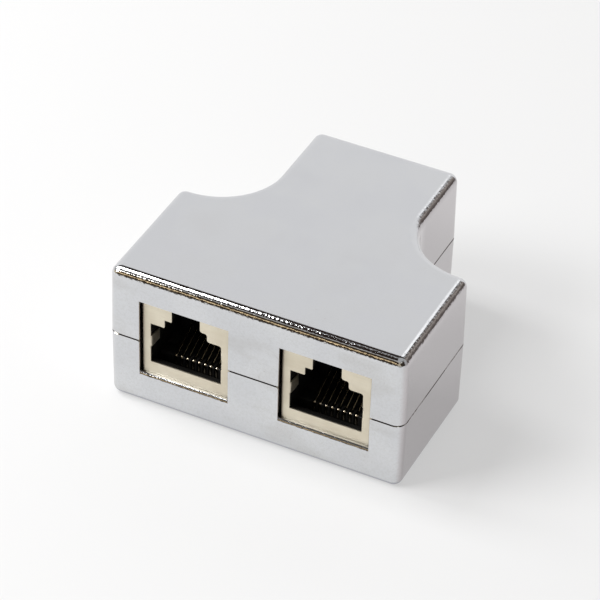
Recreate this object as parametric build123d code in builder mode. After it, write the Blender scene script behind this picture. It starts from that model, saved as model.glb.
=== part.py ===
from build123d import *
import os
from math import radians, tan

# A T-shaped splitter for 8-contact modular network plugs. All sizes are in millimetres.
# Two shielded sockets open side by side in the broad front face, a third one in the stem's end.
# X runs along the front face, Y from the front face to the stem's end, and Z up.
# The origin is on the underside, in the middle of the outer box.

# Housing, outside
total_length = 48.0
stem_width = 25.5
split_height = 12.4
side_margin = 5.37
draft_angle = 0.67
rim_radius = 1.5
corner_extra = 0.2
back_land = 0.05
seam_chamfer = 0.1
seam_gap = 0.08
seam_depth = 0.35
notch_chamfer = 0.3

# Housing, inside
wall = 1.8
lip_height = 0.9
lip_thickness = 0.8
lip_clearance = 0.1
socket_headroom = 3.05
post_diameter = 4.0
post_shoulder = 1.0
post_gap = 0.2
post_room = 0.925
pin_diameter = 2.1
pin_length = 5.0
pin_gap = 0.05
front_post_inset = 6.5
side_post_inset = 8.0
rail_thickness = 1.2
rail_inset = 1.0
rail_end_gap = 4.0
rib_thickness = 1.2
rib_length = 11.0
rib_gap = 0.1
rib_depths = (4.5, 12.0)

# Circuit board
board_thickness = 1.6
board_standoff = 1.8
board_clearance = 0.3
board_hole_gap = 0.2

# Socket placing
socket_pitch = 23.9
socket_recess = 0.85
mouth_side_gap = 0.1
mouth_top_gap = 0.15
mouth_sill = 0.93
mouth_lip = 0.6
mouth_land = 0.3
shelf_gap = 0.05
mouth_overrun = 1.0
pocket_side_gap = 0.3
pocket_end_gap = 0.15

# Socket shield, folded from one sheet
sheet = 0.25
side_frame = 1.5
lintel = 0.45
bend_radius = 0.45
flange_depth = 1.1
back_slit = 0.15
tab_width = 1.2
tab_length = 3.0
tab_depth = 7.0

# Stepped window for the plug and its latch, with a ledge on each side of every step
sill_height = 3.18
window_height = 7.49
step_height = 1.48
slot_height = 2.15
slot_width = 4.84
step_ledge = 1.23
shoulder_ledge = 2.43
right_radius = 0.45
left_radius = 0.15

# Grounding tongues beside the window
tongue_height = 2.1
tongue_length = 2.6
tongue_middle = 7.05
tongue_reach = 0.12
tongue_slope = 0.1
tongue_room = 0.5

# Moulded socket body
fit_gap = 0.05
rim_gap = 0.12
front_rim = 0.9
trench_floor = 1.0
latch_width = 8.6
latch_height = 2.3
peg_diameter = 2.4
peg_length = 2.4
peg_depth = 8.9
peg_chamfer = 0.3

# Contact carrier
comb_face = 3.4
comb_depth = 2.5
comb_top = 2.88
comb_edge = 0.12
spine_margin = 0.629
upright_face = 10.1
upright_depth = 4.8
upright_slot = 1.2
carrier_back_gap = 0.3

# Contact wires
contact_count = 8
contact_pitch = 1.016
wire_width = 0.45
wire_thickness = 0.3
wire_run_height = 0.7
wire_front_gap = 0.05
wire_slope = 25.0
wire_dip = 0.25
wire_tip_depth = 0.3
wire_bend = 0.4
slot_side_gap = 0.09
tail_length = 3.0
tail_depth = 9.0
tail_row_spacing = 2.54
tail_hole = 0.9

# The window, the shield round it and the housing round the sockets, worked out from the inside
step_width = slot_width + 2 * step_ledge
window_width = step_width + 2 * shoulder_ledge
shoulder_height = sill_height + window_height
window_top = shoulder_height + step_height + slot_height
shield_width = window_width + 2 * side_frame
shield_height = window_top + lintel
body_front = sheet + fit_gap
body_width = shield_width - 2 * body_front
body_height = shield_height - body_front
body_back = upright_face + upright_depth + carrier_back_gap
shield_depth = body_back + body_front
mouth_width = shield_width + 2 * mouth_side_gap
mouth_height = shield_height + mouth_top_gap - mouth_sill
pocket_width = shield_width + 2 * pocket_side_gap
pocket_height = shield_height + pocket_end_gap - mouth_sill
shelf_height = mouth_sill + pocket_end_gap
head_width = socket_pitch + mouth_width + 2 * side_margin
head_depth = socket_recess + shield_depth + post_diameter + 2 * post_room + wall
board_bottom = wall + board_standoff
board_top = board_bottom + board_thickness
ceiling = board_top + shield_height + socket_headroom
total_height = ceiling + wall
corner_radius = rim_radius + corner_extra

# Places worked out from the sizes above
lip_level = board_top + mouth_sill - mouth_lip
lip_lean = (split_height - lip_level) * tan(radians(draft_angle))
front_y = -total_length / 2
stem_end_y = total_length / 2
head_back_y = front_y + head_depth
flank_radius = (head_width - stem_width) / 2 - corner_radius - back_land
flank_x = stem_width / 2 + flank_radius
flank_y = head_back_y + flank_radius
front_jacks_back = front_y + socket_recess + shield_depth
rear_jack_back = stem_end_y - socket_recess - shield_depth
side_post_x = head_width / 2 - side_post_inset
side_post_y = front_jacks_back + post_room + post_diameter / 2
post_points = [
    (0, front_y + front_post_inset),
    (-side_post_x, side_post_y),
    (side_post_x, side_post_y),
    (0, (front_jacks_back + rear_jack_back) / 2),
]
jack_seats = {
    "left_jack": Location((-socket_pitch / 2, front_y + socket_recess, board_top)),
    "right_jack": Location((socket_pitch / 2, front_y + socket_recess, board_top)),
    "rear_jack": Location((0, stem_end_y - socket_recess, board_top), (0, 0, 180)),
}
contact_xs = [(i - (contact_count - 1) / 2) * contact_pitch for i in range(contact_count)]
tail_ys = [tail_depth + (i % 2) * tail_row_spacing for i in range(contact_count)]
wire_front = comb_face + wire_front_gap + wire_thickness / 2
wire_reach = upright_face + wire_tip_depth - wire_front
wire_corner = comb_top - wire_dip
wire_rise = wire_reach * tan(radians(wire_slope))
slot = wire_width + 2 * slot_side_gap
spine_width = (contact_count - 1) * contact_pitch + slot + 2 * spine_margin
rim_back = body_front + front_rim
cavity_width = window_width + 2 * rim_gap
peg_offset = spine_width / 2 + fit_gap + peg_diameter / 2
peg_points = [(-peg_offset, peg_depth), (peg_offset, peg_depth)]
tab_points = [(-(shield_width - sheet) / 2, tab_depth), ((shield_width - sheet) / 2, tab_depth)]

LOW = (Align.CENTER, Align.MIN)
FRONT_LOW = (Align.CENTER, Align.MIN, Align.MIN)


def tee_outline(inset: float) -> None:
    """Add the housing's T to the open sketch, moved inwards by inset on every side."""
    head_half = head_width / 2 - inset
    with Locations((0, front_y + inset)):
        Rectangle(2 * head_half, head_depth - 2 * inset, align=LOW)
    with Locations((0, head_back_y - inset)):
        Rectangle(stem_width - 2 * inset, total_length - head_depth, align=LOW)
        Rectangle(2 * min(flank_x, head_half), flank_radius + inset, align=LOW)
    with Locations((-flank_x, flank_y), (flank_x, flank_y)):
        Circle(flank_radius + inset, mode=Mode.SUBTRACT)


def rounded_tee(inset: float) -> None:
    """Add the T with its rounded outer corners, moved inwards by inset on every side."""
    tee_outline(inset)
    ends = vertices().group_by(Axis.Y)
    side = head_width / 2 - inset
    corners = vertices().filter_by(lambda v: abs(abs(v.X) - side) < back_land / 2)
    fillet(corners + ends[-1], corner_radius - inset)


def cut_mouths() -> None:
    """Cut the sockets' openings through the walls of the open part."""
    with Locations(*jack_seats.values()):
        with Locations((0, -socket_recess - mouth_overrun, mouth_sill)):
            depth = wall + 2 * mouth_overrun
            Box(mouth_width, depth, mouth_height, align=FRONT_LOW, mode=Mode.SUBTRACT)


def round_lips() -> None:
    """Round the lower lip of each mouth in the leaning wall of the open part."""
    with BuildPart(mode=Mode.PRIVATE) as lip:
        Box(mouth_width, lip_lean + mouth_lip, mouth_lip, align=FRONT_LOW)
        with Locations((0, lip_lean + mouth_lip, 0)):
            Cylinder(mouth_lip, mouth_width, rotation=(0, 90, 0), mode=Mode.SUBTRACT)
    with Locations(*jack_seats.values()):
        with Locations((0, -socket_recess, mouth_sill - mouth_lip)):
            add(lip.part, mode=Mode.SUBTRACT)


def cut_pockets() -> None:
    """Widen the openings round each shield, behind the mouth's thin land and its deeper shelf."""
    with Locations(*jack_seats.values()):
        with Locations((0, mouth_land - socket_recess, mouth_sill)):
            Box(pocket_width, wall, pocket_height, align=FRONT_LOW, mode=Mode.SUBTRACT)
        with Locations((0, -shelf_gap, -pocket_end_gap)):
            Box(pocket_width, wall, shelf_height, align=FRONT_LOW, mode=Mode.SUBTRACT)


def stepped_window(gap: float) -> None:
    """Add the window's outline to the open sketch, widened by gap on every side."""
    with Locations((0, sill_height - gap)):
        Rectangle(window_width + 2 * gap, window_height + 2 * gap, align=LOW)
        Rectangle(step_width + 2 * gap, window_height + step_height + 2 * gap, align=LOW)
        Rectangle(slot_width + 2 * gap, window_top - sill_height + 2 * gap, align=LOW)


# Upper half of the housing: drafted T with a rounded rim, hollow from below, on a seat inside the seam
with BuildPart() as upper_shell:
    with BuildSketch(Plane.XY.offset(split_height + seam_gap)):
        rounded_tee(0)
    extrude(amount=total_height - split_height - seam_gap, taper=draft_angle)
    fillet(upper_shell.faces().sort_by(Axis.Z)[-1].edges(), rim_radius)
    chamfer(upper_shell.faces().sort_by(Axis.Z)[0].edges(), seam_chamfer)
    with BuildSketch(Plane.XY.offset(split_height)):
        rounded_tee(seam_depth)
    extrude(amount=seam_gap)
    with BuildSketch(Plane.XY.offset(split_height)):
        tee_outline(wall)
    extrude(amount=ceiling - split_height, mode=Mode.SUBTRACT)
    with BuildSketch(Plane.XY.offset(split_height)):
        tee_outline(wall - lip_thickness)
    extrude(amount=lip_height + lip_clearance, mode=Mode.SUBTRACT)
    with BuildSketch(Plane.XY.offset(split_height)):
        with Locations(*post_points):
            Circle(post_diameter / 2)
    extrude(amount=ceiling - split_height)
    with BuildSketch(Plane.XY.offset(split_height - pin_length)):
        with Locations(*post_points):
            Circle(pin_diameter / 2)
    extrude(amount=pin_length)
    rib_bottom = shield_height + rib_gap
    rib_height = socket_headroom - rib_gap
    with Locations(*jack_seats.values()):
        with Locations(*[(0, depth, rib_bottom) for depth in rib_depths]):
            Box(rib_length, rib_thickness, rib_height, align=FRONT_LOW)
    cut_mouths()
    cut_pockets()

# Lower half: the same T downwards, with the lip, the board's rails and the hollow posts
with BuildPart() as lower_shell:
    with BuildSketch(Plane.XY.offset(split_height)):
        rounded_tee(0)
    extrude(amount=-split_height, taper=draft_angle)
    fillet(lower_shell.faces().sort_by(Axis.Z)[0].edges(), rim_radius)
    chamfer(lower_shell.faces().sort_by(Axis.Z)[-1].edges(), seam_chamfer)
    with BuildSketch(Plane.XY.offset(split_height)):
        tee_outline(wall - lip_thickness + lip_clearance)
    extrude(amount=lip_height)
    with BuildSketch(Plane.XY.offset(wall)):
        tee_outline(wall)
    extrude(amount=total_height, mode=Mode.SUBTRACT)
    head_rail = head_depth - 2 * rail_end_gap
    stem_rail = stem_end_y - flank_y - rail_end_gap
    with BuildSketch(Plane.XY.offset(wall)):
        with Locations(*post_points):
            Circle(post_diameter / 2 + post_shoulder)
        for side in (-1, 1):
            with Locations((side * (head_width / 2 - wall - rail_inset), front_y + rail_end_gap)):
                Rectangle(rail_thickness, head_rail, align=LOW)
            with Locations((side * (stem_width / 2 - wall - rail_inset), flank_y)):
                Rectangle(rail_thickness, stem_rail, align=LOW)
    extrude(amount=board_standoff)
    with BuildSketch(Plane.XY.offset(wall)):
        with Locations(*post_points):
            Circle(post_diameter / 2)
    extrude(amount=split_height - post_gap - wall)
    with BuildSketch(Plane.XY.offset(wall)):
        with Locations(*post_points):
            Circle(pin_diameter / 2 + pin_gap)
    extrude(amount=split_height, mode=Mode.SUBTRACT)
    cut_mouths()
    # The corners where a mouth meets the seam are broken
    short_edges = lower_shell.edges().filter_by(Axis.Y).filter_by(lambda e: e.length < wall)
    chamfer(short_edges.filter_by_position(Axis.Z, split_height, split_height), notch_chamfer)
    round_lips()
    cut_pockets()

# Circuit board: T-shaped plate with holes for the posts, pegs, tabs and contact tails
with BuildPart() as circuit_board:
    with BuildSketch(Plane.XY.offset(board_bottom)):
        tee_outline(wall + board_clearance)
        with Locations(*post_points):
            Circle(post_diameter / 2 + board_hole_gap, mode=Mode.SUBTRACT)
        with Locations(*jack_seats.values()):
            with Locations(*peg_points):
                Circle((peg_diameter + board_hole_gap) / 2, mode=Mode.SUBTRACT)
            with Locations(*tab_points):
                Circle((tab_width + board_hole_gap) / 2, mode=Mode.SUBTRACT)
            with Locations(*zip(contact_xs, tail_ys)):
                Circle(tail_hole / 2, mode=Mode.SUBTRACT)
    extrude(amount=board_thickness)

# Socket shield: sheet folded round the body, with the window in front and the underside open
with BuildPart() as shield:
    with BuildSketch(Plane.XY):
        Rectangle(shield_width, shield_depth, align=LOW)
    extrude(amount=shield_height)
    front_edges = shield.faces().sort_by(Axis.Y)[0].edges()
    fillet(front_edges + shield.edges().filter_by(Axis.Y), bend_radius)
    add(offset(shield.part, amount=-sheet, mode=Mode.PRIVATE), mode=Mode.SUBTRACT)
    # Behind the front flange the sheet stops short of the board
    with BuildSketch(Plane.XY):
        with Locations((0, flange_depth)):
            Rectangle(shield_width, shield_depth, align=LOW)
    extrude(amount=bend_radius, mode=Mode.SUBTRACT)
    with BuildSketch(Plane.XZ):
        stepped_window(0)
        right_rows = vertices().filter_by(lambda v: v.X > 0).group_by(Axis.Y)[1:-1]
        fillet([v for row in right_rows for v in row], right_radius)
        left_rows = vertices().filter_by(lambda v: v.X < 0).group_by(Axis.Y)[1:-1]
        fillet([row.sort_by(Axis.X)[-1] for row in left_rows], left_radius)
    extrude(amount=-bend_radius, mode=Mode.SUBTRACT)
    # The back is a flap that hangs from the top, free of both sides
    with BuildSketch(Plane.XY):
        for side in (-1, 1):
            with Locations((side * (shield_width / 2 - sheet - back_slit / 2), shield_depth)):
                Rectangle(back_slit, 2 * sheet)
    extrude(amount=shield_height - bend_radius, mode=Mode.SUBTRACT)
    # Each grounding tongue folds in from the window's edge and lies along the cavity's side
    tongue_x = window_width / 2 + sheet / 2 - tongue_reach
    tongue_low = Plane.XY.offset(tongue_middle - tongue_height / 2)
    with BuildSketch(tongue_low):
        for side in (-1, 1):
            with Locations((side * window_width / 2, 0)):
                Rectangle(2 * bend_radius, 2 * sheet)
    extrude(amount=tongue_height, mode=Mode.SUBTRACT)
    for side in (-1, 1):
        with BuildSketch(tongue_low):
            with BuildLine():
                FilletPolyline(
                    (side * (tongue_x + 2 * bend_radius), sheet / 2),
                    (side * tongue_x, sheet / 2),
                    (side * (tongue_x - tongue_slope), tongue_length),
                    radius=bend_radius - sheet / 2,
                )
            trace(line_width=sheet)
        extrude(amount=tongue_height)
    # The tabs go down through the board
    with Locations(*[(x, y, -tab_length) for x, y in tab_points]):
        tab_height = tab_length + 2 * bend_radius
        Box(sheet, tab_width, tab_height, align=(Align.CENTER, Align.CENTER, Align.MIN))

# Socket body: black moulding with the stepped mouth, the cavity and two locating pegs
with BuildPart() as body:
    with BuildSketch(Plane.XY):
        with Locations((0, body_front)):
            Rectangle(body_width, body_back - body_front, align=LOW)
    extrude(amount=body_height)
    with BuildSketch(Plane.XY):
        Rectangle(body_width, flange_depth + fit_gap, align=LOW)
    extrude(amount=sheet + fit_gap, mode=Mode.SUBTRACT)
    front_edges = body.faces().sort_by(Axis.Y)[0].edges()
    long_edges = body.edges().filter_by(Axis.Y).filter_by(lambda e: e.center().Z > sheet)
    fillet(front_edges + long_edges, bend_radius - sheet)
    with BuildSketch(Plane.XZ):
        stepped_window(rim_gap)
    extrude(amount=-rim_back, mode=Mode.SUBTRACT)
    # Behind the rim the cavity widens for the latch, and its floor drops in front of the comb
    with BuildSketch(Plane.XZ.offset(-rim_back)):
        with Locations((0, comb_top)):
            Rectangle(cavity_width, shoulder_height - comb_top, align=LOW)
            Rectangle(latch_width, shoulder_height + latch_height - comb_top, align=LOW)
            Rectangle(slot_width + 2 * rim_gap, shield_height, align=LOW)
    extrude(amount=-shield_depth, mode=Mode.SUBTRACT)
    with BuildSketch(Plane.XY.offset(trench_floor)):
        with Locations((0, rim_back)):
            Rectangle(cavity_width, comb_face - rim_back, align=LOW)
    extrude(amount=comb_top, mode=Mode.SUBTRACT)
    # The carrier's bays, open underneath
    with BuildSketch(Plane.XY):
        with Locations((0, comb_face - fit_gap)):
            Rectangle(cavity_width, comb_depth + 2 * fit_gap, align=LOW)
            Rectangle(spine_width + 2 * fit_gap, shield_depth, align=LOW)
    extrude(amount=comb_top, mode=Mode.SUBTRACT)
    # Room for the grounding tongues in the rim and the cavity's sides
    with BuildSketch(Plane.XY.offset(tongue_middle - tongue_height / 2 - fit_gap)):
        Rectangle(window_width + 2 * tongue_room, tongue_length + tongue_room, align=LOW)
    extrude(amount=tongue_height + 2 * fit_gap, mode=Mode.SUBTRACT)
    with BuildSketch(Plane.XY):
        with Locations(*peg_points):
            Circle(peg_diameter / 2)
    extrude(amount=-peg_length)
    chamfer(body.faces().sort_by(Axis.Z)[:2].edges(), peg_chamfer)

# Contact carrier: comb in front, spine between the body's rails, upright behind
with BuildPart() as carrier:
    with BuildSketch(Plane.XY):
        with Locations((0, comb_face)):
            Rectangle(window_width, comb_depth, align=LOW)
            Rectangle(spine_width, upright_face + upright_depth - comb_face, align=LOW)
    extrude(amount=comb_top)
    with BuildSketch(Plane.XY.offset(comb_top)):
        with Locations((0, upright_face)):
            Rectangle(window_width, upright_depth, align=LOW)
    extrude(amount=shoulder_height - fit_gap - comb_top)
    front_edge = carrier.edges().filter_by(Axis.X).group_by(Axis.Y)[0].sort_by(Axis.Z)[-1]
    chamfer(front_edge, comb_edge)
    comb_slot = wire_front - comb_face + (wire_dip + wire_thickness) / tan(radians(wire_slope))
    with BuildSketch(Plane.XY):
        with Locations(*[(x, comb_face) for x in contact_xs]):
            Rectangle(slot, comb_slot, align=LOW)
    extrude(amount=comb_top, mode=Mode.SUBTRACT)
    with BuildSketch(Plane.XY):
        with Locations(*[(x, comb_face) for x in contact_xs]):
            Rectangle(slot, tail_depth + tail_row_spacing + tail_hole - comb_face, align=LOW)
    extrude(amount=wire_run_height + wire_thickness / 2, mode=Mode.SUBTRACT)
    with BuildSketch(Plane.XY.offset(comb_top)):
        with Locations(*[(x, upright_face) for x in contact_xs]):
            Rectangle(slot, upright_slot, align=LOW)
    extrude(amount=shoulder_height, mode=Mode.SUBTRACT)

# Contact wires: tail through the board, run under the comb, bend up and spring back
contacts = []
for x, tail_y in zip(contact_xs, tail_ys):
    with BuildPart() as contact:
        with BuildSketch(Plane.YZ.offset(x)):
            with BuildLine():
                FilletPolyline(
                    (tail_y, -tail_length),
                    (tail_y, wire_run_height),
                    (wire_front, wire_run_height),
                    (wire_front, wire_corner),
                    (wire_front + wire_reach, wire_corner + wire_rise),
                    radius=wire_bend,
                )
            trace(line_width=wire_thickness)
        extrude(amount=wire_width / 2, both=True)
    contacts.append(contact)

# Each piece is written once, and the socket's pieces once for each socket
os.makedirs("parts", exist_ok=True)
upper_shell.part.label = "upper_shell"
lower_shell.part.label = "lower_shell"
circuit_board.part.label = "circuit_board"
pieces = [upper_shell.part, lower_shell.part, circuit_board.part]
jack_pieces = {"shield": shield, "body": body, "carrier": carrier}
for number, contact in enumerate(contacts, start=1):
    jack_pieces[f"contact_{number}"] = contact
for jack, seat in jack_seats.items():
    for name, piece in jack_pieces.items():
        placed = seat * piece.part
        placed.label = f"{jack}_{name}"
        pieces.append(placed)
for piece in pieces:
    export_step(piece, f"parts/{piece.label}.step")
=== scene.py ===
"""Finish, light and view of a T-shaped splitter adapter for 8-contact network plugs.

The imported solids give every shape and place. This script gives each of them its surface, rounds the
edges of the small moulded and folded pieces, and sets up the floor, the light and the camera.
All lengths are in metres.
"""

import logging
import math
from dataclasses import dataclass, field
from enum import Enum

import bmesh
import bpy
from mathutils import Matrix, Vector

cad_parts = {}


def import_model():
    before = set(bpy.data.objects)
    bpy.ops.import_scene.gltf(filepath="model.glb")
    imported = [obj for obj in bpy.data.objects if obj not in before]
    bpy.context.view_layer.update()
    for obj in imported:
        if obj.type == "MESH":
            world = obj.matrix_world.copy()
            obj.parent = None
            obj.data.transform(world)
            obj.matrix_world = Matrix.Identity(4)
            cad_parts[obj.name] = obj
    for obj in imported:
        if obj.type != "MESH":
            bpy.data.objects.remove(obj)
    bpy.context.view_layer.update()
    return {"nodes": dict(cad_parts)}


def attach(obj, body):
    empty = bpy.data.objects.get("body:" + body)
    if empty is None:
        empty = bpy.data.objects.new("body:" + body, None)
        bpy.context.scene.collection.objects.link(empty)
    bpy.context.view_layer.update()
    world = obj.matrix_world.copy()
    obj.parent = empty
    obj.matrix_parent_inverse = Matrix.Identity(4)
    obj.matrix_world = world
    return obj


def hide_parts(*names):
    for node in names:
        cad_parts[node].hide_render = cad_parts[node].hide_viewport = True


LOG = logging.getLogger("splitter")
BODY = "root"
MM = 0.001

Triple = tuple[float, float, float]
Colour = Triple
Socket = bpy.types.NodeSocket


class Slot(Enum):
    """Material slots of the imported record."""

    PLATING = "plated_housing"
    SHEET = "shield_sheet"
    MOULDING = "black_moulding"
    WIRE = "contact_wire"
    BOARD = "board"


class Jack(Enum):
    """The three sockets, by the first part of their pieces' names."""

    LEFT = "left_jack"
    RIGHT = "right_jack"
    REAR = "rear_jack"


class Axis(Enum):
    """Axes, by the names of a node's outputs."""

    X = "X"
    Y = "Y"
    Z = "Z"


class Step(Enum):
    """Steps of arithmetic that a node takes."""

    ADD = "ADD"
    SUBTRACT = "SUBTRACT"
    MULTIPLY = "MULTIPLY"
    DIVIDE = "DIVIDE"
    MAXIMUM = "MAXIMUM"
    ABSOLUTE = "ABSOLUTE"


class Kind(Enum):
    """What a mixing node mixes, with the numbers of its two inputs and of its output."""

    NUMBER = ("FLOAT", 2, 3, 0)
    COLOUR = ("RGBA", 6, 7, 2)


class Cell(Enum):
    """How the borders of a cell pattern look."""

    SHARP = "F1"
    SMOOTH = "SMOOTH_F1"


@dataclass(frozen=True)
class Span:
    """A mask that follows a value is 0 up to the span's start and 1 from its end on."""

    start: float
    end: float


@dataclass(frozen=True)
class Grain:
    """Cloudy noise: size of a cloud, number of finer layers, and factors on X, Y and Z."""

    size: float
    layers: float = 2.0
    stretch: Triple = (1.0, 1.0, 1.0)


WHOLE = Span(0.0, 1.0)
MOST_NOISE = Span(0.3, 0.7)


class NodeSheet:
    """A node tree with the steps that finishes and light are made of."""

    def __init__(self, tree: bpy.types.NodeTree) -> None:
        """Clear a node tree and give it its coordinates.

        Args:
            tree: The node tree to fill.
        """
        self.tree = tree
        self.tree.nodes.clear()
        self.place = self.tree.nodes.new("ShaderNodeTexCoord")

    def fill(self, socket: Socket, value: Socket | float | Colour | Vector) -> None:
        """Link a value to a socket, or write it there.

        Args:
            socket: The input to fill.
            value: An output to link, or a number, a colour or a vector.
        """
        if isinstance(value, bpy.types.NodeSocket):
            self.tree.links.new(value, socket)
        elif socket.type == "RGBA":
            socket.default_value = (*value, 1.0)
        else:
            socket.default_value = value

    def ramp(self, value: Socket, span: Span, first: float = 0.0, last: float = 1.0) -> Socket:
        """Carry a value smoothly over a span, held at its ends.

        Args:
            value: The value to carry.
            span: Where the value starts and ends.
            first: Result at the span's start.
            last: Result at the span's end.

        Returns:
            The carried value.
        """
        node = self.tree.nodes.new("ShaderNodeMapRange")
        node.interpolation_type = "SMOOTHSTEP"
        self.fill(node.inputs["Value"], value)
        self.fill(node.inputs["From Min"], span.start)
        self.fill(node.inputs["From Max"], span.end)
        self.fill(node.inputs["To Min"], first)
        self.fill(node.inputs["To Max"], last)
        return node.outputs["Result"]

    def reckon(self, step: Step, first: Socket | float, second: Socket | float = 0.0) -> Socket:
        """One step of arithmetic.

        Args:
            step: What to do with the numbers.
            first: First number.
            second: Second number.

        Returns:
            The result.
        """
        node = self.tree.nodes.new("ShaderNodeMath")
        node.operation = step.value
        self.fill(node.inputs[0], first)
        self.fill(node.inputs[1], second)
        return node.outputs["Value"]

    def both(self, first: Socket, second: Socket) -> Socket:
        """Where two masks meet."""
        return self.reckon(Step.MULTIPLY, first, second)

    def mix(
        self, kind: Kind, share: Socket, first: Socket | float | Colour, second: Socket | float | Colour
    ) -> Socket:
        """Mix two numbers or two colours.

        Args:
            kind: What is mixed.
            share: 0 for the first one, 1 for the second.
            first: First number or colour.
            second: Second number or colour.

        Returns:
            The mixed number or colour.
        """
        data_type, first_input, second_input, output = kind.value
        node = self.tree.nodes.new("ShaderNodeMix")
        node.data_type = data_type
        self.fill(node.inputs[0], share)
        self.fill(node.inputs[first_input], first)
        self.fill(node.inputs[second_input], second)
        return node.outputs[output]

    def blend(self, share: Socket, first: Socket | float, second: Socket | float) -> Socket:
        """Mix two numbers: 0 for the first, 1 for the second."""
        return self.mix(Kind.NUMBER, share, first, second)

    def tint(self, share: Socket, first: Colour | Socket, second: Colour | Socket) -> Socket:
        """Mix two colours: 0 for the first, 1 for the second."""
        return self.mix(Kind.COLOUR, share, first, second)


class Recipe(NodeSheet):
    """One material and the nodes that make its surface."""

    def __init__(self, name: str) -> None:
        """Start a material whose only nodes are its shader, its output and its coordinates.

        Args:
            name: The material's name.
        """
        self.material = bpy.data.materials.new(name)
        self.material.use_nodes = True
        super().__init__(self.material.node_tree)
        output = self.tree.nodes.new("ShaderNodeOutputMaterial")
        self.shader = self.tree.nodes.new("ShaderNodeBsdfPrincipled")
        self.tree.links.new(self.shader.outputs["BSDF"], output.inputs["Surface"])

    def set(self, **values: Socket | float | Colour) -> None:
        """Fill inputs of the shader.

        Args:
            **values: Each input's name in small letters with underscores, and its value.
        """
        for name, value in values.items():
            wanted = name.replace("_", " ").lower()
            socket = next(s for s in self.shader.inputs if s.name.lower() == wanted)
            self.fill(socket, value)

    def noise(self, grain: Grain) -> Socket:
        """Cloudy noise on Object coordinates.

        Args:
            grain: Size, layers and stretch of the clouds.

        Returns:
            The noise, from 0 to 1.
        """
        stretched = self.tree.nodes.new("ShaderNodeMapping")
        self.fill(stretched.inputs["Vector"], self.place.outputs["Object"])
        self.fill(stretched.inputs["Scale"], grain.stretch)
        node = self.tree.nodes.new("ShaderNodeTexNoise")
        self.fill(node.inputs["Vector"], stretched.outputs["Vector"])
        self.fill(node.inputs["Scale"], 1.0 / grain.size)
        self.fill(node.inputs["Detail"], grain.layers)
        return node.outputs["Fac"]

    def cells(self, spacing: float, border: Cell) -> Socket:
        """Distance from the nearest of many points, scattered on Object coordinates.

        Args:
            spacing: Mean distance between the points, in metres.
            border: How the cells round the points meet.

        Returns:
            The distance as a share of the spacing.
        """
        node = self.tree.nodes.new("ShaderNodeTexVoronoi")
        node.feature = border.value
        self.fill(node.inputs["Vector"], self.place.outputs["Object"])
        self.fill(node.inputs["Scale"], 1.0 / spacing)
        return node.outputs["Distance"]

    def bump(self, height: Socket, depth: float, strength: Socket | float = 1.0) -> Socket:
        """Relief from a height.

        Args:
            height: Height, from 0 to 1.
            depth: Relief of a full step of height, in metres.
            strength: Share of the relief that shows.

        Returns:
            The normal for the shader.
        """
        node = self.tree.nodes.new("ShaderNodeBump")
        self.fill(node.inputs["Distance"], depth)
        self.fill(node.inputs["Strength"], strength)
        self.fill(node.inputs["Height"], height)
        return node.outputs["Normal"]

    def along(self, axis: Axis, what: str) -> Socket:
        """One number of the surface's place or direction.

        Args:
            axis: Which of the three numbers.
            what: The coordinates, Object for the place or Normal for the direction.

        Returns:
            The number, in metres for a place and from -1 to 1 for a direction.
        """
        node = self.tree.nodes.new("ShaderNodeSeparateXYZ")
        self.fill(node.inputs["Vector"], self.place.outputs[what])
        return node.outputs[axis.value]

    def facing(self, axis: Axis) -> Socket:
        """How far the surface faces along an axis, from -1 to 1."""
        return self.along(axis, "Normal")

    def sideways(self) -> Socket:
        """How far the surface faces left or right, from 0 to 1."""
        return self.reckon(Step.ABSOLUTE, self.facing(Axis.X))

    def band(self, level: float, half: float, fade: float) -> Socket:
        """A level band round the piece.

        Args:
            level: Height of the band's middle, in metres.
            half: Half of its height.
            fade: Height over which it fades out.

        Returns:
            A mask that is 1 in the band and 0 away from it.
        """
        offset = self.reckon(Step.SUBTRACT, self.along(Axis.Z, "Object"), level)
        return self.ramp(self.reckon(Step.ABSOLUTE, offset), Span(half + fade, half))


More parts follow.
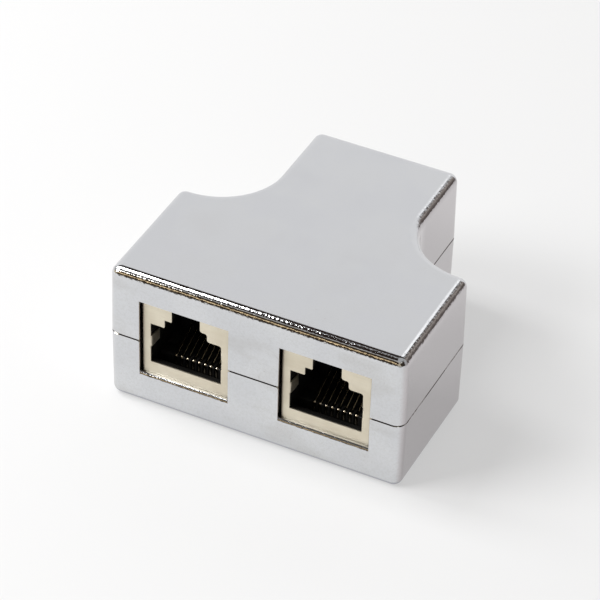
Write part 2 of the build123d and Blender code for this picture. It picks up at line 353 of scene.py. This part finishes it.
@dataclass(frozen=True)
class Plating:
    """Bright metal plating on moulded plastic: satin faces, glossy dimpled edges, painted shade in the
    seam.

    The spans of facing are on a direction's number along an axis. Along Z it is 1 on the top, 0 on
    the walls and -1 on the underside, and along Y it is -1 on the broad front face.
    """

    # Colours of the metal, of what lies on it, and of the painted shade and painted reflection
    light: Colour = (0.665, 0.675, 0.69)
    dark: Colour = (0.63, 0.64, 0.66)
    stain: Colour = (0.42, 0.40, 0.37)
    # Painted shade: darkens the walls that face left and right
    painted_side_shade: Colour = (0.55, 0.52, 0.53)
    # Painted reflection: warm cream tint on the lower part of the front edge
    painted_warm_reflection: Colour = (0.74, 0.64, 0.49)
    # Painted shade: darkens the seam between the shells
    painted_seam_shade: Colour = (0.10, 0.075, 0.05)
    # Painted shade: darkens the rounded edge round the underside
    painted_under_shade: Colour = (0.36, 0.37, 0.41)

    # Clouds, stains and pits
    cloud: Grain = Grain(9 * MM, layers=4.0)
    cloud_span: Span = Span(0.35, 0.65)
    mottle: Grain = Grain(0.35 * MM, layers=4.0)
    mottle_span: Span = Span(0.4, 0.7)
    mottle_share: float = 0.13
    side_mottle_share: float = 0.3
    smudge: Grain = Grain(4.5 * MM, layers=6.0, stretch=(0.5, 0.5, 1.0))
    smudge_span: Span = Span(0.5, 0.72)
    smudge_share: float = 0.22
    # Share of the painted shade on the walls that face left and right
    painted_side_shade_share: float = 0.9
    top_share: float = 0.04
    pit_spacing: float = 1.5 * MM
    pit_span: Span = Span(0.09, 0.036)
    pit_zone: Span = Span(0.45, 0.6)
    pit_share: float = 0.5

    # Facing at which each zone starts and ends
    top_zone: Span = Span(0.3, 0.9)
    side_zone: Span = Span(0.5, 0.95)
    edge_over_wall: Span = Span(0.06, 0.2)
    edge_under_top: Span = Span(0.998, 0.985)
    # Where the painted warm reflection lies on the front edge
    warm_over_wall: Span = Span(0.35, 0.5)
    warm_in_front: Span = Span(-0.6, -0.75)
    rough_over_wall: Span = Span(0.1, 0.25)
    rough_under_top: Span = Span(0.62, 0.5)
    rough_side: Span = Span(0.25, 0.4)
    rough_side_under_top: Span = Span(0.97, 0.9)
    # Where the painted shade lies on the underside's edge
    under_below_wall: Span = Span(-0.15, -0.5)
    under_above_foot: Span = Span(-0.98, -0.9)

    # Gloss and relief
    gloss: float = 0.13
    haze: float = 0.2
    edge_gloss: float = 0.05
    peel: Grain = Grain(0.3 * MM, layers=3.0)
    dimple: float = 0.5 * MM
    peel_depth: float = 0.033 * MM
    face_relief: float = 0.04
    side_relief: float = 0.08
    edge_relief: float = 0.33
    rough_relief: float = 1.0
    rough_side_share: float = 0.8

    # Painted shade in the seam between the shells
    seam_level: float = 12.46 * MM
    seam_half: float = 0.1 * MM
    seam_fade: float = 0.08 * MM
    seam_span: Span = Span(0.42, 0.56)
    seam_least: float = 0.35

    def build(self) -> bpy.types.Material:
        """Make the plated surface.

        Returns:
            The material.
        """
        recipe = Recipe("plating")
        clouds = recipe.noise(self.cloud)
        fine = recipe.noise(self.peel)
        level = recipe.facing(Axis.Z)
        edge = recipe.both(
            recipe.ramp(level, self.edge_over_wall), recipe.ramp(level, self.edge_under_top)
        )
        satin = recipe.ramp(clouds, MOST_NOISE, self.gloss, self.haze)
        relief = recipe.reckon(Step.ADD, fine, recipe.cells(self.dimple, Cell.SMOOTH))
        recipe.set(
            base_color=self.colour(recipe, clouds, fine),
            metallic=1.0,
            roughness=recipe.blend(edge, satin, self.edge_gloss),
            normal=recipe.bump(relief, self.peel_depth, self.relief_share(recipe, edge)),
        )
        return recipe.material

    def colour(self, recipe: Recipe, clouds: Socket, fine: Socket) -> Socket:
        """Lay stains over the cloudy metal, with painted shade on the side walls, the underside's edge and
        the seam, and a painted warm reflection on the front edge.

        Args:
            recipe: The material being made.
            clouds: The noise of the large clouds.
            fine: The noise of the fine relief.

        Returns:
            The colour.
        """
        base = recipe.tint(recipe.ramp(clouds, self.cloud_span), self.dark, self.light)
        for share, colour in (
            (self.smudges(recipe), self.stain),
            (self.mottling(recipe), self.stain),
            # Painted shade on the walls that face left and right
            (recipe.ramp(recipe.sideways(), self.side_zone, last=self.painted_side_shade_share), self.painted_side_shade),
            # Painted shade on the underside's edge
            (self.lower_edge_shade(recipe), self.painted_under_shade),
            # Painted warm reflection on the front edge
            (self.front_edge_reflection(recipe), self.painted_warm_reflection),
            (self.pits(recipe, clouds), self.stain),
            # Painted shade in the seam
            (self.seam(recipe, fine), self.painted_seam_shade),
        ):
            base = recipe.tint(share, base, colour)
        return base

    def smudges(self, recipe: Recipe) -> Socket:
        """Large soft smudges, faint on the top.

        Args:
            recipe: The material being made.

        Returns:
            Their share of the colour.
        """
        on_top = recipe.ramp(recipe.facing(Axis.Z), self.top_zone)
        share = recipe.ramp(on_top, WHOLE, self.smudge_share, self.top_share)
        return recipe.both(recipe.ramp(recipe.noise(self.smudge), self.smudge_span), share)

    def mottling(self, recipe: Recipe) -> Socket:
        """Fine mottling, strongest on the sides and faint on the top.

        Args:
            recipe: The material being made.

        Returns:
            Its share of the colour.
        """
        on_top = recipe.ramp(recipe.facing(Axis.Z), self.top_zone)
        on_walls = recipe.ramp(
            recipe.sideways(), self.side_zone, self.mottle_share, self.side_mottle_share
        )
        share = recipe.blend(on_top, on_walls, self.top_share)
        return recipe.both(recipe.ramp(recipe.noise(self.mottle), self.mottle_span), share)

    def lower_edge_shade(self, recipe: Recipe) -> Socket:
        """Painted shade on the rounded edge round the underside."""
        level = recipe.facing(Axis.Z)
        return recipe.both(
            recipe.ramp(level, self.under_below_wall), recipe.ramp(level, self.under_above_foot)
        )

    def front_edge_reflection(self, recipe: Recipe) -> Socket:
        """Painted warm reflection on the lower part of the rounded edge over the broad front face."""
        return recipe.both(
            recipe.ramp(recipe.facing(Axis.Z), self.warm_over_wall),
            recipe.ramp(recipe.facing(Axis.Y), self.warm_in_front),
        )

    def pits(self, recipe: Recipe, clouds: Socket) -> Socket:
        """Small round pits in some of the clouds.

        Args:
            recipe: The material being made.
            clouds: The noise of the large clouds.

        Returns:
            Their share of the colour.
        """
        round_pits = recipe.ramp(recipe.cells(self.pit_spacing, Cell.SHARP), self.pit_span)
        return recipe.both(round_pits, recipe.ramp(clouds, self.pit_zone, last=self.pit_share))

    def seam(self, recipe: Recipe, fine: Socket) -> Socket:
        """Broken painted shade where the two shells meet.

        Args:
            recipe: The material being made.
            fine: The noise of the fine relief.

        Returns:
            Its share of the colour.
        """
        line = recipe.band(self.seam_level, self.seam_half, self.seam_fade)
        return recipe.both(line, recipe.ramp(fine, self.seam_span, self.seam_least, 1.0))

    def relief_share(self, recipe: Recipe, edge: Socket) -> Socket:
        """Relief that shows: little on the faces, and most low on the front and side edges.

        Args:
            recipe: The material being made.
            edge: Where the rounded edges round the top are.

        Returns:
            The share of the full relief.
        """
        level = recipe.facing(Axis.Z)
        sideways = recipe.sideways()
        at_side = recipe.both(
            recipe.ramp(sideways, self.rough_side, last=self.rough_side_share),
            recipe.ramp(level, self.rough_side_under_top),
        )
        rough = recipe.both(
            recipe.ramp(level, self.rough_over_wall),
            recipe.reckon(Step.MAXIMUM, recipe.ramp(level, self.rough_under_top), at_side),
        )
        on_faces = recipe.ramp(sideways, self.side_zone, self.face_relief, self.side_relief)
        return recipe.blend(rough, recipe.blend(edge, on_faces, self.edge_relief), self.rough_relief)


@dataclass(frozen=True)
class NickelSheet:
    """Warm satin nickel on thin rolled sheet, with the rolling's fine lines."""

    light: Colour = (0.74, 0.685, 0.56)
    dark: Colour = (0.67, 0.61, 0.49)
    smooth: float = 0.42
    rough: float = 0.52
    cloud: Grain = Grain(4 * MM, layers=5.0)
    line: Grain = Grain(0.25 * MM, stretch=(0.06, 0.06, 1.0))
    line_depth: float = 0.004 * MM

    def build(self) -> bpy.types.Material:
        """Make the sheet's surface.

        Returns:
            The material.
        """
        recipe = Recipe("nickel_sheet")
        clouds = recipe.ramp(recipe.noise(self.cloud), MOST_NOISE)
        lines = recipe.noise(self.line)
        recipe.set(
            base_color=recipe.tint(clouds, self.dark, self.light),
            metallic=1.0,
            roughness=recipe.ramp(lines, MOST_NOISE, self.smooth, self.rough),
            normal=recipe.bump(lines, self.line_depth),
        )
        return recipe.material


@dataclass(frozen=True)
class BlackMoulding:
    """Black glass-filled plastic with a fine sparked texture."""

    light: Colour = (0.012, 0.011, 0.01)
    dark: Colour = (0.005, 0.005, 0.005)
    shine: float = 0.17
    smooth: float = 0.38
    rough: float = 0.55
    cloud: Grain = Grain(3 * MM, layers=3.0)
    grit: Grain = Grain(0.12 * MM)
    grit_depth: float = 0.006 * MM

    def build(self) -> bpy.types.Material:
        """Make the black plastic.

        Returns:
            The material.
        """
        recipe = Recipe("black_moulding")
        clouds = recipe.noise(self.cloud)
        recipe.set(
            base_color=recipe.tint(clouds, self.dark, self.light),
            specular_ior_level=self.shine,
            roughness=recipe.ramp(clouds, MOST_NOISE, self.smooth, self.rough),
            normal=recipe.bump(recipe.noise(self.grit), self.grit_depth),
        )
        return recipe.material


@dataclass(frozen=True)
class GoldWire:
    """Thin gold plating on drawn spring wire, its colours darkened as painted shade of the socket's hollow.
    """

    # Painted shade: the gold is darkened for the dark hollow it lies in
    light: Colour = (0.42, 0.37, 0.29)
    dark: Colour = (0.30, 0.25, 0.18)
    smooth: float = 0.06
    rough: float = 0.13
    cloud: Grain = Grain(1.2 * MM, layers=3.0)
    draw_line: Grain = Grain(0.08 * MM, layers=1.0, stretch=(1.0, 0.1, 0.1))
    draw_depth: float = 0.002 * MM

    def build(self) -> bpy.types.Material:
        """Make the wire's surface.

        Returns:
            The material.
        """
        recipe = Recipe("gold_wire")
        clouds = recipe.noise(self.cloud)
        recipe.set(
            base_color=recipe.tint(clouds, self.dark, self.light),
            metallic=1.0,
            roughness=recipe.ramp(clouds, MOST_NOISE, self.smooth, self.rough),
            normal=recipe.bump(recipe.noise(self.draw_line), self.draw_depth),
        )
        return recipe.material


@dataclass(frozen=True)
class SolderMask:
    """Green lacquer over a woven glass board."""

    light: Colour = (0.03, 0.20, 0.07)
    dark: Colour = (0.015, 0.12, 0.045)
    smooth: float = 0.25
    rough: float = 0.45
    cloud: Grain = Grain(6 * MM, layers=3.0)
    warp: Grain = Grain(0.5 * MM, layers=0.0, stretch=(1.0, 0.1, 1.0))
    weft: Grain = Grain(0.5 * MM, layers=0.0, stretch=(0.1, 1.0, 1.0))
    thread_depth: float = 0.01 * MM

    def build(self) -> bpy.types.Material:
        """Make the board's surface.

        Returns:
            The material.
        """
        recipe = Recipe("solder_mask")
        clouds = recipe.noise(self.cloud)
        weave = recipe.reckon(Step.ADD, recipe.noise(self.warp), recipe.noise(self.weft))
        recipe.set(
            base_color=recipe.tint(clouds, self.dark, self.light),
            roughness=recipe.ramp(clouds, MOST_NOISE, self.smooth, self.rough),
            normal=recipe.bump(weave, self.thread_depth),
        )
        return recipe.material


@dataclass(frozen=True)
class OpalTable:
    """White opal sheet of a light table, lit from below."""

    light: Colour = (0.33, 0.33, 0.33)
    dark: Colour = (0.325, 0.325, 0.325)
    glow: float = 0.48
    glow_colour: Colour = (1.0, 1.0, 1.0)
    rough: float = 0.9
    cloud: Grain = Grain(0.2)

    def build(self) -> bpy.types.Material:
        """Make the table's surface.

        Returns:
            The material.
        """
        recipe = Recipe("opal_table")
        recipe.set(
            base_color=recipe.tint(recipe.noise(self.cloud), self.dark, self.light),
            roughness=self.rough,
            specular_ior_level=0.0,
            emission_color=self.glow_colour,
            emission_strength=self.glow,
        )
        return recipe.material


def dress(piece: bpy.types.Object, material: bpy.types.Material) -> None:
    """Give a piece one material all over.

    Args:
        piece: The piece to dress.
        material: Its material.
    """
    piece.data.materials.clear()
    piece.data.materials.append(material)


@dataclass
class RoundedCopy:
    """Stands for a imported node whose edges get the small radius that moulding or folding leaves."""

    node: str
    radius: float
    segments: int = 2
    flat_angle: float = math.radians(1.0)
    edge_angle: float = math.radians(40.0)
    merge_distance: float = 0.0005 * MM

    def build(self, source: bpy.types.Object, slot: Slot, material: bpy.types.Material) -> None:
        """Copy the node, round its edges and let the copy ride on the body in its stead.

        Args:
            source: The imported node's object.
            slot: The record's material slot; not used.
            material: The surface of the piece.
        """
        name = f"{self.node}_finished"
        piece = bpy.data.objects.new(name, self.rounded(source.data, name))
        bpy.context.scene.collection.objects.link(piece)
        dress(piece, material)
        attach(piece, BODY)
        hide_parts(self.node)

    def rounded(self, packed: bpy.types.Mesh, name: str) -> bpy.types.Mesh:
        """Join the loose triangles of a mesh and round its edges.

        Args:
            packed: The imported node's mesh.
            name: Name of the new mesh.

        Returns:
            The new mesh.
        """
        form = bmesh.new()
        form.from_mesh(packed)
        bmesh.ops.remove_doubles(form, verts=form.verts, dist=self.merge_distance)
        bmesh.ops.dissolve_limit(
            form, angle_limit=self.flat_angle, verts=form.verts, edges=form.edges, delimit={"NORMAL"}
        )
        bmesh.ops.bevel(
            form,
            geom=[e for e in form.edges if e.is_manifold and e.calc_face_angle(0.0) > self.edge_angle],
            offset=self.radius,
            offset_type="OFFSET",
            segments=self.segments,
            profile=0.5,
            affect="EDGES",
            material=-1,
            clamp_overlap=True,
            loop_slide=True,
        )
        mesh = bpy.data.meshes.new(name)
        form.to_mesh(mesh)
        form.free()
        mesh.shade_smooth()
        mesh.set_sharp_from_angle(angle=self.edge_angle)
        return mesh


@dataclass
class Housing:
    """The two plated shells."""

    shells: tuple[str, ...] = ("upper_shell", "lower_shell")

    def build(self, nodes: dict[str, bpy.types.Object], material: bpy.types.Material) -> None:
        """Dress both shells.

        Args:
            nodes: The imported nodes.
            material: The plated surface.
        """
        for name in self.shells:
            dress(nodes[name], material)
            LOG.info("dressed %s", name)


@dataclass
class Insides:
    """The circuit board that carries the three sockets."""

    board: str = "circuit_board"

    def build(self, nodes: dict[str, bpy.types.Object], material: bpy.types.Material) -> None:
        """Dress the board.

        Args:
            nodes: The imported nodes.
            material: The board's surface.
        """
        dress(nodes[self.board], material)
        LOG.info("dressed %s", self.board)


@dataclass
class ModularSocket:
    """One shielded socket: folded shield, moulded body, carrier and eight spring wires."""

    jack: Jack
    contacts: int = 8
    sheet_radius: float = 0.03 * MM
    wire_radius: float = 0.1 * MM
    moulding_radius: float = 0.06 * MM

    def build(
        self, nodes: dict[str, bpy.types.Object], finishes: dict[Slot, bpy.types.Material]
    ) -> None:
        """Round the edges of the socket's pieces and dress them.

        Args:
            nodes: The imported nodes.
            finishes: The surface for each slot.
        """
        parts: dict[str, tuple[Slot, float]] = {
            "shield": (Slot.SHEET, self.sheet_radius),
            "body": (Slot.MOULDING, self.moulding_radius),
            "carrier": (Slot.MOULDING, self.moulding_radius),
        }
        for number in range(1, self.contacts + 1):
            parts[f"contact_{number}"] = (Slot.WIRE, self.wire_radius)
        for part, (slot, radius) in parts.items():
            name = f"{self.jack.value}_{part}"
            RoundedCopy(name, radius).build(nodes[name], slot, finishes[slot])
            LOG.info("finished %s", name)


def towards(azimuth: float, elevation: float) -> Vector:
    """Direction of an azimuth and an elevation.

    Args:
        azimuth: Degrees round the adapter, 0 in front of the broad face and 90 at its right.
        elevation: Degrees above the floor.

    Returns:
        The direction, one unit long.
    """
    turn = math.radians(azimuth)
    rise = math.radians(elevation)
    return Vector((math.sin(turn) * math.cos(rise), -math.cos(turn) * math.cos(rise), math.sin(rise)))


@dataclass(frozen=True)
class Panel:
    """A rectangular patch of the surroundings, lighter or darker than the rest, in degrees."""

    azimuth: float
    elevation: float
    half_width: float
    half_height: float
    level: Colour
    softness: float = 0.12


class Surroundings(NodeSheet):
    """The light that comes from all round, with its panels."""

    def __init__(self, name: str) -> None:
        """Make a world and give it to the scene.

        Args:
            name: The world's name.
        """
        world = bpy.data.worlds.new(name)
        world.use_nodes = True
        bpy.context.scene.world = world
        super().__init__(world.node_tree)

    def along(self, direction: Vector) -> Socket:
        """How far the looked-at direction runs along another one.

        Args:
            direction: The other direction.

        Returns:
            The share, from -1 to 1.
        """
        node = self.tree.nodes.new("ShaderNodeVectorMath")
        node.operation = "DOT_PRODUCT"
        self.fill(node.inputs[0], self.place.outputs["Generated"])
        self.fill(node.inputs[1], direction)
        return node.outputs["Value"]

    def mask(self, panel: Panel) -> Socket:
        """Where a panel is.

        Args:
            panel: The panel.

        Returns:
            1 inside the panel, 0 outside it.
        """
        middle = towards(panel.azimuth, panel.elevation)
        across = Vector((0.0, 0.0, 1.0)).cross(middle).normalized()
        upwards = middle.cross(across)
        ahead = self.along(middle)
        share = self.ramp(ahead, Span(0.0, panel.softness))
        for axis, half in ((across, panel.half_width), (upwards, panel.half_height)):
            offset = self.reckon(Step.ABSOLUTE, self.reckon(Step.DIVIDE, self.along(axis), ahead))
            reach = math.tan(math.radians(half))
            border = Span(reach + panel.softness / 2, reach - panel.softness / 2)
            share = self.both(share, self.ramp(offset, border))
        return share

    def light(self, dome: Colour, panels: tuple[Panel, ...], background: Colour) -> None:
        """Set how bright every direction is.

        Args:
            dome: Level of the surroundings.
            panels: Patches laid over them, the later ones on top.
            background: Level that the camera sees where it looks past the floor.
        """
        level = dome
        for panel in panels:
            level = self.tint(self.mask(panel), level, panel.level)
        seen = self.tree.nodes.new("ShaderNodeLightPath")
        light = self.tree.nodes.new("ShaderNodeBackground")
        output = self.tree.nodes.new("ShaderNodeOutputWorld")
        self.fill(light.inputs["Color"], self.tint(seen.outputs["Is Camera Ray"], level, background))
        self.tree.links.new(light.outputs["Background"], output.inputs["Surface"])


@dataclass(frozen=True)
class SoftLight:
    """A rectangular soft light at a place given from the adapter's foot."""

    name: str
    place: Triple
    width: float
    depth: float
    level: float
    aimed: bool = False

    def build(self) -> None:
        """Hang the light level, or turn it to face the adapter."""
        data = bpy.data.lights.new(self.name, "AREA")
        data.shape = "RECTANGLE"
        data.size = self.width
        data.size_y = self.depth
        data.energy = self.level * math.pi * self.width * self.depth
        lamp = bpy.data.objects.new(self.name, data)
        lamp.location = self.place
        if self.aimed:
            lamp.rotation_euler = Vector(self.place).to_track_quat("Z", "Y").to_euler()
        bpy.context.scene.collection.objects.link(lamp)


BLACK_FLAG: Colour = (0.028, 0.019, 0.015)
BROWN_FLAG: Colour = (0.045, 0.036, 0.028)


@dataclass
class Studio:
    """Pale glowing floor, soft lights on the left and quiet surroundings with dark flags."""

    floor_radius: float = 4.0
    floor_sides: int = 64
    dome: Colour = (0.5, 0.5, 0.5)
    background: Colour = (1.0, 1.0, 1.0)
    lights: tuple[SoftLight, ...] = (
        SoftLight("overhead", place=(-0.656, 0.02, 0.7), width=0.788, depth=0.24, level=12.2),
        SoftLight("front_left", place=(-0.52, -0.36, 0.49), width=0.36, depth=0.36, level=14.0, aimed=True),
    )
    panels: tuple[Panel, ...] = (
        # Pale wall behind the stem, which the top mirrors, and a flag over it
        Panel(200.0, 22.0, half_width=48.0, half_height=25.0, level=(0.945, 0.94, 0.945)),
        Panel(200.0, 56.5, half_width=50.0, half_height=11.5, level=BLACK_FLAG, softness=0.05),
        # Flag beside the overhead light, where the bright line in the front edge ends
        Panel(285.0, 68.5, half_width=20.0, half_height=6.5, level=BLACK_FLAG, softness=0.06),
        # Flag in front, and a warm strip across it, for the lines low in the front edge
        Panel(335.0, 27.0, half_width=26.0, half_height=24.0, level=BROWN_FLAG),
        Panel(335.0, 29.0, half_width=24.0, half_height=2.5, level=(1.3, 1.15, 0.9), softness=0.03),
        # White strip behind, then grey and dark ones, for the lines in the right edge
        Panel(182.0, 44.5, half_width=9.0, half_height=2.5, level=(1.5, 1.5, 1.5), softness=0.04),
        Panel(143.0, 30.0, half_width=13.0, half_height=13.0, level=(0.2, 0.165, 0.15), softness=0.05),
        Panel(143.0, 27.0, half_width=13.0, half_height=2.2, level=(0.6, 0.55, 0.5), softness=0.03),
        Panel(139.0, 8.0, half_width=16.0, half_height=9.0, level=(0.13, 0.11, 0.10)),
        # Flag at the right, and a small lamp in it, for the front right corner
        Panel(62.0, 32.0, half_width=24.0, half_height=28.0, level=BROWN_FLAG),
        Panel(44.0, 48.0, half_width=5.0, half_height=5.0, level=(1.8, 1.75, 1.6), softness=0.04),
    )

    def build(self) -> None:
        """Make the floor, the soft lights and the surroundings."""
        self.lay_floor()
        for light in self.lights:
            light.build()
        Surroundings("studio").light(self.dome, self.panels, self.background)
        bpy.context.scene.view_settings.view_transform = "Standard"
        LOG.info("set up the studio")

    def lay_floor(self) -> None:
        """Lay a round floor under the adapter."""
        form = bmesh.new()
        bmesh.ops.create_circle(form, cap_ends=True, segments=self.floor_sides, radius=self.floor_radius)
        mesh = bpy.data.meshes.new("floor")
        form.to_mesh(mesh)
        form.free()
        floor = bpy.data.objects.new("floor", mesh)
        bpy.context.scene.collection.objects.link(floor)
        dress(floor, OpalTable().build())


@dataclass
class PhotoCamera:
    """Long lens looking down on the front right corner. Its angles are in degrees."""

    azimuth: float = 25.059
    elevation: float = 38.476
    roll: float = 1.79
    distance: float = 482.16 * MM
    target: Vector = field(default_factory=lambda: Vector((-2.02, -3.63, 12.70)) * MM)
    lens: float = 184.68
    sensor: float = 36.0
    nearest_share: float = 0.05
    farthest_share: float = 40.0

    def build(self) -> None:
        """Make the camera and give it to the scene."""
        data = bpy.data.cameras.new("camera")
        data.lens = self.lens
        data.sensor_width = self.sensor
        data.clip_start = self.distance * self.nearest_share
        data.clip_end = self.distance * self.farthest_share
        camera = bpy.data.objects.new("camera", data)
        back = towards(self.azimuth, self.elevation)
        right = Vector((0.0, 0.0, 1.0)).cross(back).normalized()
        turned = Matrix.Rotation(math.radians(self.roll), 3, back) @ right
        up = back.cross(turned)
        axes = Matrix((turned, up, back)).transposed().to_4x4()
        camera.matrix_world = Matrix.Translation(self.target + back * self.distance) @ axes
        bpy.context.scene.collection.objects.link(camera)
        bpy.context.scene.camera = camera
        LOG.info("set the camera")


def main() -> None:
    """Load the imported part, finish each sub-assembly and set up the studio."""
    logging.basicConfig(level=logging.INFO, format="%(message)s")
    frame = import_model()
    nodes = frame["nodes"]
    PhotoCamera().build()
    Studio().build()
    finishes = {
        Slot.PLATING: Plating().build(),
        Slot.SHEET: NickelSheet().build(),
        Slot.MOULDING: BlackMoulding().build(),
        Slot.WIRE: GoldWire().build(),
        Slot.BOARD: SolderMask().build(),
    }
    Housing().build(nodes, finishes[Slot.PLATING])
    Insides().build(nodes, finishes[Slot.BOARD])
    for jack in Jack:
        ModularSocket(jack).build(nodes, finishes)


if __name__ == "__main__":
    main()
